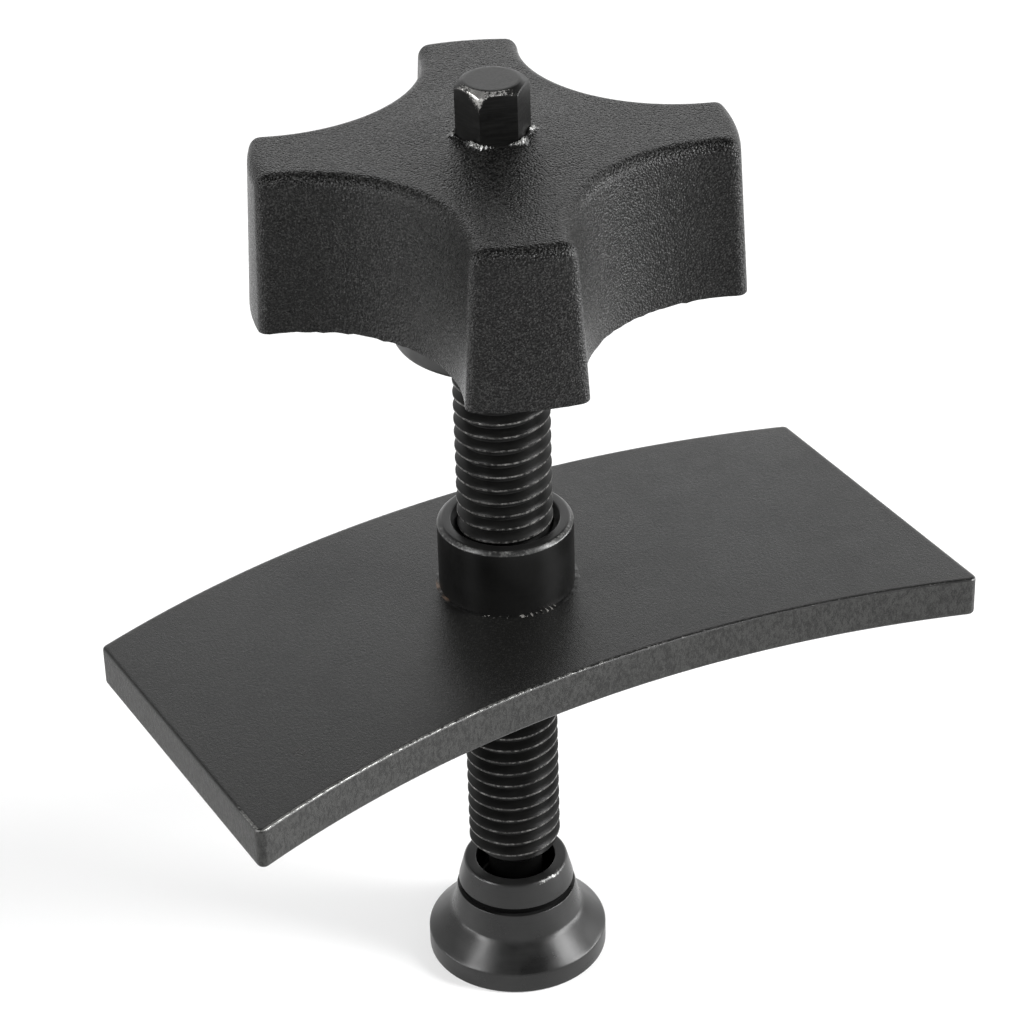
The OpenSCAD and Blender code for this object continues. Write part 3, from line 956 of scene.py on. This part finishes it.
def knob_walls(s):
    """Rings from the ragged lower rim up the drafted walls and over the rounded top edge."""
    bottom, corner, edge = s.arm_bottom, s.corner_rounding, s.top_rounding
    wall_top = s.arm_top - edge
    wall_steps, edge_steps = 8, 10
    rim = star_ring(s, 0.0, corner, bottom)
    inner_rim = star_ring(s, 0.06 * MM, corner, bottom)
    rag = []
    for x, y, _ in rim:
        hollow_share = 1.0 - faded(math.hypot(x, y), 30 * MM, 37 * MM)
        ragged = 0.5 + 0.5 * waviness(x, y, 0.0, 900.0) + 0.5 * waviness(x, y, 0.01, 2600.0)
        rag.append(s.flash * max(0.0, ragged) * (0.15 + 0.85 * hollow_share))
    rings = [
        star_ring(s, 0.5 * MM, corner - 0.3 * MM, bottom),
        [(x, y, bottom - drop) for (x, y, _), drop in zip(inner_rim, rag)],
        [(x, y, bottom - drop * 0.8) for (x, y, _), drop in zip(rim, rag)],
        star_ring(s, 0.0, corner, bottom + 0.2 * MM),
    ]
    for k in range(1, wall_steps):
        z = bottom + (wall_top - bottom) * k / wall_steps
        rings.append(star_ring(s, draft_inset(s, z), corner, z))
    for k in range(edge_steps + 1):
        a = QUARTER_TURN * k / edge_steps
        inset, z = edge * (1 - math.cos(a)), wall_top + edge * math.sin(a)
        rounding = max(corner - inset, s.least_rounding)
        rings.append(star_ring(s, draft_inset(s, wall_top) + inset, rounding, z))
    return rings


def knob_top(s, hexagon):
    """Rings over the domed top, from its edge in to the hexagon's hole."""
    top, edge = s.arm_top, draft_inset(s, s.arm_top - s.top_rounding) + s.top_rounding
    steps, shrink = 12, 0.5

    def domed(points):
        crowned = []
        for x, y, _ in points:
            rise = 1 - faded(math.hypot(x, y), 5 * MM, 21 * MM)
            crowned.append((x, y, top + s.dome * rise))
        return crowned

    rings = []
    for k in range(1, steps + 1):
        rings.append(domed(star_ring(s, edge, s.least_rounding, top, 1.0 - shrink * k / steps)))
    crown = rings[-1]
    inner = circle_like(crown, hexagon, top + s.dome)
    for t in (0.2, 0.4, 0.6, 0.8):
        rings.append(domed([tuple(a + (b - a) * t for a, b in zip(p, q)) for p, q in zip(crown, inner)]))
    return rings + [inner]


def knob_underside(s, crown, hexagon):
    """Rings down the hexagon's hole, round the hub and along the hollow to the lower rim."""
    hub_low, roof = KNOB_LOW.z, s.arm_top - s.roof
    shoulder = 8.2 * MM
    hub_edge = ((-0.9, 0.0), (-0.5, 0.06), (-0.2, 0.22), (-0.05, 0.5), (0.0, 0.9), (0.15, 8.0))
    line = [(shoulder, hub_low)]
    line += [(s.hub_radius + out * MM, hub_low + up * MM) for out, up in hub_edge]
    line.append((s.hub_radius + 0.6 * MM, roof))
    rings = [circle_like(crown, hexagon, hub_low)]
    rings += [circle_like(crown, lambda a: r, z) for r, z in line]
    rings.append(star_ring(s, s.wall + draft_inset(s, roof), s.least_rounding, roof))
    rings.append(star_ring(s, s.wall, s.least_rounding, s.arm_bottom))
    return rings


def build_knob(s, screw):
    """Moulded star knob, hollow underneath, with its hub."""
    hub_zone, hub_top = s.hub_radius + 0.62 * MM, s.arm_top - s.roof - 0.5 * MM

    def hexagon(a):
        return hex_radius(a, screw.hex_flats + 0.06 * MM, screw.hex_turn)

    def finish_of(centre, normal):
        return 1 if centre.z < hub_top and math.hypot(centre.x, centre.y) < hub_zone else 0

    over = knob_top(s, hexagon)
    rings = knob_walls(s) + over + knob_underside(s, over[-1], hexagon)
    points, faces = loft(rings, close_loop=True)
    # The sand finish carries painted glint on the crowns of its bumps.
    grain = sand_plastic("knob_sand_grain_painted_glints", s.plastic)
    smooth = smooth_plastic("knob_hub_smooth", scaled(s.plastic, 2.6), 0.46)
    piece = make_mesh("knob_star", points, faces, [grain, smooth], None, finish_of, sharp=40.0)
    seat(piece, "screw", "knob_plastic", "star_knob")


def build_flash(s, screw):
    """Thin crinkled lip of plastic that the mould squeezed out round the hexagon."""
    columns, peak = 360, s.arm_top + s.dome
    sunk = peak - 0.35 * MM
    curled_places = ((155.0, 12.0), (214.0, 24.0), (285.0, 22.0), (331.0, 14.0))
    section = ((0.0, 0.30), (0.10, 0.75), (0.28, 1.0), (0.46, 0.85), (0.62, 0.42), (0.82, 0.12), (1.0, 0.0))

    def curls(a):
        """How far the lip curls up at an angle, from 0 to 1."""
        most = 0.0
        for middle, half in curled_places:
            away = abs(math.degrees(away_from(a, math.radians(middle))))
            most = max(most, 1.0 - faded(away, 0.35 * half, 1.25 * half))
        return most

    rings = []
    for across, rise in section:
        ring = []
        for i in range(columns):
            a = FULL_TURN * i / columns
            curled = curls(a)
            crinkle = waviness(math.cos(a), math.sin(a), 2.0, 13.0)
            curl = waviness(math.cos(a), math.sin(a), across * 2.0, 22.0)
            height = max(0.06, 0.16 + 0.62 * curled + 0.22 * crinkle) * MM
            reach = (0.75 + 0.75 * curled + 0.30 * crinkle) * MM
            foot = hex_radius(a, screw.hex_flats, screw.hex_turn) - 0.05 * MM
            r = foot + reach * across + 0.10 * MM * curl * rise
            ring.append(polar(r, a, peak - 0.06 * MM + height * rise * (1.0 + 0.35 * curl)))
        rings.append(ring)
    for ring, factor in ((rings[-1], 0.97), (rings[0], 1.0)):
        rings.append([(x * factor, y * factor, sunk) for x, y, _ in ring])
    points, faces = loft(rings, close_loop=True)

    # Painted highlight: the flash's lighter colour goes on the tops of its curls.
    def wear_and_painted_highlight(p):
        return 0.56 * curls(math.atan2(p.y, p.x)) * faded(p.z, peak + 0.02 * MM, peak + 0.3 * MM)

    gloss = flash_plastic("knob_flash_gloss_painted_highlights", scaled(s.plastic, 1.7), s.flash_painted_highlight)
    piece = make_mesh("knob_flash_lip", points, faces, [gloss], wear_and_painted_highlight, sharp=60.0)
    seat(piece, "screw", "knob_plastic")


# Foot


def foot_section(s, ball):
    """Closed line of (radius, height) points round the foot's section, from its base up and back down inside."""
    top, out, bore = FOOT_HIGH.z, FOOT_HIGH.x, s.bore_radius
    recess_low, recess_high = RING_MIDDLE - s.recess_half, RING_MIDDLE + s.recess_half
    seat_steps, base_radii = 24, (0.0, 6.0 * MM, 11.0 * MM)
    outer = [
        (out - 0.3 * MM, 0.0, 0.2), (out, 0.3 * MM, 0.15), (out, s.flange_height, 0.5),
        (out - 0.4 * MM, s.flange_height + 0.45 * MM, 0.3), (s.slope_radius, s.slope_top, 1.6),
        (s.body_radius, s.body_start, 1.6), (s.lower_lip, s.groove_low, 0.12),
        (s.groove_radius, s.groove_low, 0.1), (s.groove_radius, s.groove_high, 0.1),
        (s.upper_lip, s.groove_high, 0.12), (s.head_radius, s.head_height, 0.25),
        (s.mouth_radius, top, 0.15),
    ]
    inner = [
        (bore + 0.15 * MM, top, 0.1), (bore, top - 0.2 * MM, 0.1), (bore, recess_high, 0.05),
        (s.recess_radius, recess_high, 0.05), (s.recess_radius, recess_low, 0.05),
        (bore, recess_low, 0.05), (bore, ball, 0.05), (s.seat_radius, ball, 0.0),
    ]
    line = softened([(r, z, cut * MM) for r, z, cut in outer + inner])
    for k in range(1, seat_steps + 1):
        a = -QUARTER_TURN * k / seat_steps
        line.append((s.seat_radius * math.cos(a), ball + s.seat_radius * math.sin(a)))
    return divided(line + [(r, 0.0) for r in base_radii], 1.2 * MM)


def build_foot(s, screw):
    """Turned thrust foot with a sloping flange, an outer groove and a ball seat."""
    points, faces = revolved(foot_section(s, screw.ball_height), 180)
    # Painted highlight: the mouth's rim gets more bare metal around this turn.
    top, painted_highlight_turn = FOOT_HIGH.z, math.radians(284.0)

    def wear_and_painted_highlight(p):
        """Bare metal on the groove's lips and round the mouth; the larger share on the mouth towards the front
        right is a painted highlight.
        """
        groove_wear, mouth_wear, front_painted_highlight = 0.30, 0.20, 0.30
        r = math.hypot(p.x, p.y)
        from_groove = min(abs(p.z - s.groove_low), abs(p.z - s.groove_high))
        if r > s.groove_radius - 0.4 * MM and from_groove < 0.2 * MM:
            return groove_wear
        if r > s.mouth_radius - 0.27 * MM and abs(p.z - top) < 0.7 * MM:
            away = abs(math.degrees(away_from(math.atan2(p.y, p.x), painted_highlight_turn)))
            return mouth_wear + front_painted_highlight * (1.0 - faded(away, 14.0, 30.0))
        return 0.0

    # Faces in the outer groove and the bore take the painted shade.
    def finish_of(centre, normal):
        touch = 0.01 * MM
        r = math.hypot(centre.x, centre.y)
        beside_groove = s.groove_low - touch < centre.z < s.groove_high + touch
        groove = beside_groove and r < s.groove_radius + 0.3 * MM
        bore = centre.z > 2.0 * MM and r < s.bore_radius + 0.1 * MM
        return 1 if groove or bore else 0

    steel = turned_steel(
        "foot_satin", s.steel, s.bare_metal, roughness=0.30, specular=0.36, rings_size=0.16 * MM
    )
    # Painted shade: the outer groove and the bore get a copy of the steel 0.15 times as light, with almost no
    # gloss.
    dark = turned_steel("foot_bore_painted_shade", scaled(s.steel, 0.15), s.bare_metal, roughness=0.5, specular=0.05)
    piece = make_mesh("foot_body", points, faces, [steel, dark], wear_and_painted_highlight, finish_of, sharp=30.0)
    seat(piece, "foot", "foot_steel", "swivel_foot")


def build_ring(s):
    """Open wire ring with rounded ends that keeps the ball in the foot."""
    wire, radius = s.wire_radius, RING_HIGH.y - s.wire_radius
    stations, around, tip_steps, tip_length = 96, 20, 5, 0.6 * wire
    rings = []

    def section(a, size, push):
        """Round of the wire at an angle, pushed along the ring by some length."""
        ring = []
        for k in range(around):
            b = FULL_TURN * k / around
            x, y, z = polar(radius + wire * size * math.cos(b), a, RING_MIDDLE + wire * size * math.sin(b))
            ring.append((x - push * math.sin(a), y + push * math.cos(a), z))
        rings.append(ring)

    start, end = s.ring_gap / 2, FULL_TURN - s.ring_gap / 2
    tips = [QUARTER_TURN * k / tip_steps for k in range(tip_steps)]
    for tip in tips:
        section(start, math.sin(tip), -tip_length * math.cos(tip))
    for k in range(stations + 1):
        section(start + (end - start) * k / stations, 1.0, 0.0)
    for tip in reversed(tips):
        section(end, math.sin(tip), tip_length * math.cos(tip))
    points, faces = loft(rings)
    piece = make_mesh("retaining_wire", points, faces, [spring_wire("spring_wire", s.wire)], sharp=50.0)
    seat(piece, "carriage", "spring_steel", "snap_ring")


# Stage


def build_surroundings(s):
    """White surroundings that fade to a dark ceiling."""
    world = bpy.data.worlds.new("studio_white")
    world.use_nodes = True
    nodes, links = world.node_tree.nodes, world.node_tree.links
    background = nodes["Background"]
    background.inputs["Strength"].default_value = 1.0
    direction = nodes.new("ShaderNodeTexCoord")
    height = nodes.new("ShaderNodeSeparateXYZ")
    links.new(direction.outputs["Generated"], height.inputs[0])
    band = nodes.new("ShaderNodeValToRGB")
    band.color_ramp.interpolation = "EASE"
    levels = ((0.10, 0.80), (0.40, 1.0), (0.48, 1.0), (0.63, s.ceiling))
    stops = band.color_ramp.elements
    while len(stops) < len(levels):
        stops.new(0.5)
    for stop, (place, level) in zip(stops, levels):
        stop.position, stop.color = place, (level, level, level, 1.0)
    links.new(height.outputs["Z"], band.inputs["Fac"])
    links.new(band.outputs["Color"], background.inputs["Color"])
    bpy.context.scene.world = world


def seen_rays(nodes, links):
    """One for camera, glossy and transmission rays, otherwise nothing."""
    path = nodes.new("ShaderNodeLightPath")
    total = path.outputs["Is Camera Ray"]
    for name in ("Is Glossy Ray", "Is Transmission Ray"):
        node = nodes.new("ShaderNodeMath")
        node.operation = "MAXIMUM"
        links.new(total, node.inputs[0])
        links.new(path.outputs[name], node.inputs[1])
        total = node.outputs[0]
    return total


def studio_paper(s):
    """Floor paper: matt, and lifted to white where it is seen."""
    paper = bpy.data.materials.new("studio_paper")
    paper.use_nodes = True
    nodes, links = paper.node_tree.nodes, paper.node_tree.links
    shader = nodes["Principled BSDF"]
    shader.inputs["Base Color"].default_value = (*s.floor, 1.0)
    shader.inputs["Roughness"].default_value = 0.9
    shader.inputs["Specular IOR Level"].default_value = 0.0
    shader.inputs["Emission Color"].default_value = (1.0, 1.0, 1.0, 1.0)
    span = nodes.new("ShaderNodeMapRange")
    links.new(seen_rays(nodes, links), span.inputs["Value"])
    span.inputs["To Min"].default_value = 0.0
    span.inputs["To Max"].default_value = s.floor_glow
    links.new(span.outputs["Result"], shader.inputs["Emission Strength"])
    return paper


def build_floor(s):
    """Square floor just under the foot."""
    half, z = s.floor_half, CAD_BOX[0][2] - 0.1 * MM
    mesh = bpy.data.meshes.new("studio_floor")
    corners = [(-half, -half, z), (half, -half, z), (half, half, z), (-half, half, z)]
    mesh.from_pydata(corners, [], [(0, 1, 2, 3)])
    mesh.materials.append(studio_paper(s))
    floor = bpy.data.objects.new("studio_floor", mesh)
    bpy.context.scene.collection.objects.link(floor)


def build_lamps(s):
    """Soft boxes above the tool and low cards beside it, all facing its middle."""
    heading = Matrix.Rotation(s.camera_heading, 3, "Z")
    middle = Vector((0.0, 0.0, 0.09))
    # Name, metres to the camera's right, ahead and up, width and height in metres, watts
    lamps = (
        ("back_box", (0.3, 1.9, 0.72), (2.4, 0.75), 8.5),
        ("left_box", (-1.0, -0.60, 0.75), (0.35, 0.9), 14.0),
        ("right_box", (1.2, -0.30, 0.75), (0.4, 1.0), 31.0),
        ("left_card", (-1.2, -0.20, 0.12), (0.6, 0.2), 4.0),
        ("right_card", (1.2, 0.10, 0.12), (1.0, 0.2), 12.0),
    )
    for name, offset, (wide, tall), watts in lamps:
        light = bpy.data.lights.new(name, "AREA")
        light.shape, light.size, light.size_y, light.energy = "RECTANGLE", wide, tall, watts
        lamp = bpy.data.objects.new(name, light)
        bpy.context.scene.collection.objects.link(lamp)
        place = heading @ Vector(offset)
        facing = (middle - place).to_track_quat("-Z", "Y")
        lamp.matrix_world = Matrix.Translation(place) @ facing.to_matrix().to_4x4()


def build_camera(s):
    """Camera at the photograph's place."""
    lens = bpy.data.cameras.new("photo_camera")
    lens.sensor_width, lens.lens = 36.0, s.lens
    lens.clip_start, lens.clip_end = 0.01, 50.0
    camera = bpy.data.objects.new("photo_camera", lens)
    bpy.context.scene.collection.objects.link(camera)
    camera.matrix_world = (
        Matrix.Translation(Vector(s.camera_place))
        @ Matrix.Rotation(s.camera_heading, 4, "Z")
        @ Matrix.Rotation(s.camera_tilt, 4, "X")
        @ Matrix.Rotation(s.camera_roll, 4, "Z")
    )
    bpy.context.scene.camera = camera


# Operators


class PISTONTOOL_OT_plate(bpy.types.Operator):
    """Build the pressure plate"""

    bl_idname = "piston_tool.plate"
    bl_label = "Pressure Plate"

    def execute(self, context):
        build_plate(context.scene.piston_tool_plate)
        return {"FINISHED"}


class PISTONTOOL_OT_collar(bpy.types.Operator):
    """Build the threaded collar and its seam"""

    bl_idname = "piston_tool.collar"
    bl_label = "Collar and Seam"

    def execute(self, context):
        build_collar(context.scene.piston_tool_collar)
        build_seam(context.scene.piston_tool_collar)
        return {"FINISHED"}


class PISTONTOOL_OT_screw(bpy.types.Operator):
    """Build the drive screw"""

    bl_idname = "piston_tool.screw"
    bl_label = "Drive Screw"

    def execute(self, context):
        build_screw(context.scene.piston_tool_screw)
        return {"FINISHED"}


class PISTONTOOL_OT_knob(bpy.types.Operator):
    """Build the star knob and the flash round its hexagon"""

    bl_idname = "piston_tool.knob"
    bl_label = "Star Knob"

    def execute(self, context):
        build_knob(context.scene.piston_tool_knob, context.scene.piston_tool_screw)
        build_flash(context.scene.piston_tool_knob, context.scene.piston_tool_screw)
        return {"FINISHED"}


class PISTONTOOL_OT_foot(bpy.types.Operator):
    """Build the swivel foot and its wire ring"""

    bl_idname = "piston_tool.foot"
    bl_label = "Swivel Foot"

    def execute(self, context):
        build_foot(context.scene.piston_tool_foot, context.scene.piston_tool_screw)
        build_ring(context.scene.piston_tool_foot)
        return {"FINISHED"}


class PISTONTOOL_OT_stage(bpy.types.Operator):
    """Set the floor, the light and the camera"""

    bl_idname = "piston_tool.stage"
    bl_label = "Stage"

    def execute(self, context):
        context.scene.view_settings.view_transform = "Standard"
        for build in (build_surroundings, build_floor, build_lamps, build_camera):
            build(context.scene.piston_tool_stage)
        return {"FINISHED"}


class PISTONTOOL_PT_sidebar(bpy.types.Panel):
    """Lists the tool's pieces and its stage"""

    bl_idname = "PISTONTOOL_PT_sidebar"
    bl_label = "Piston Tool"
    bl_space_type = "VIEW_3D"
    bl_region_type = "UI"
    bl_category = "Piston Tool"

    def draw(self, context):
        for operator in OPERATORS:
            self.layout.operator(operator.bl_idname)


SETTINGS = {
    "piston_tool_plate": PlateSettings,
    "piston_tool_collar": CollarSettings,
    "piston_tool_screw": ScrewSettings,
    "piston_tool_knob": KnobSettings,
    "piston_tool_foot": FootSettings,
    "piston_tool_stage": StageSettings,
}
OPERATORS = (
    PISTONTOOL_OT_stage,
    PISTONTOOL_OT_plate,
    PISTONTOOL_OT_collar,
    PISTONTOOL_OT_screw,
    PISTONTOOL_OT_knob,
    PISTONTOOL_OT_foot,
)


def register():
    for name, group in SETTINGS.items():
        bpy.utils.register_class(group)
        setattr(bpy.types.Scene, name, PointerProperty(type=group))
    for operator in OPERATORS:
        bpy.utils.register_class(operator)
    bpy.utils.register_class(PISTONTOOL_PT_sidebar)


def unregister():
    bpy.utils.unregister_class(PISTONTOOL_PT_sidebar)
    for operator in reversed(OPERATORS):
        bpy.utils.unregister_class(operator)
    for name, group in reversed(list(SETTINGS.items())):
        delattr(bpy.types.Scene, name)
        bpy.utils.unregister_class(group)


def main():
    register()
    bpy.ops.piston_tool.stage()
    bpy.ops.piston_tool.plate()
    bpy.ops.piston_tool.collar()
    bpy.ops.piston_tool.screw()
    bpy.ops.piston_tool.knob()
    bpy.ops.piston_tool.foot()


if __name__ == "__main__":
    main()
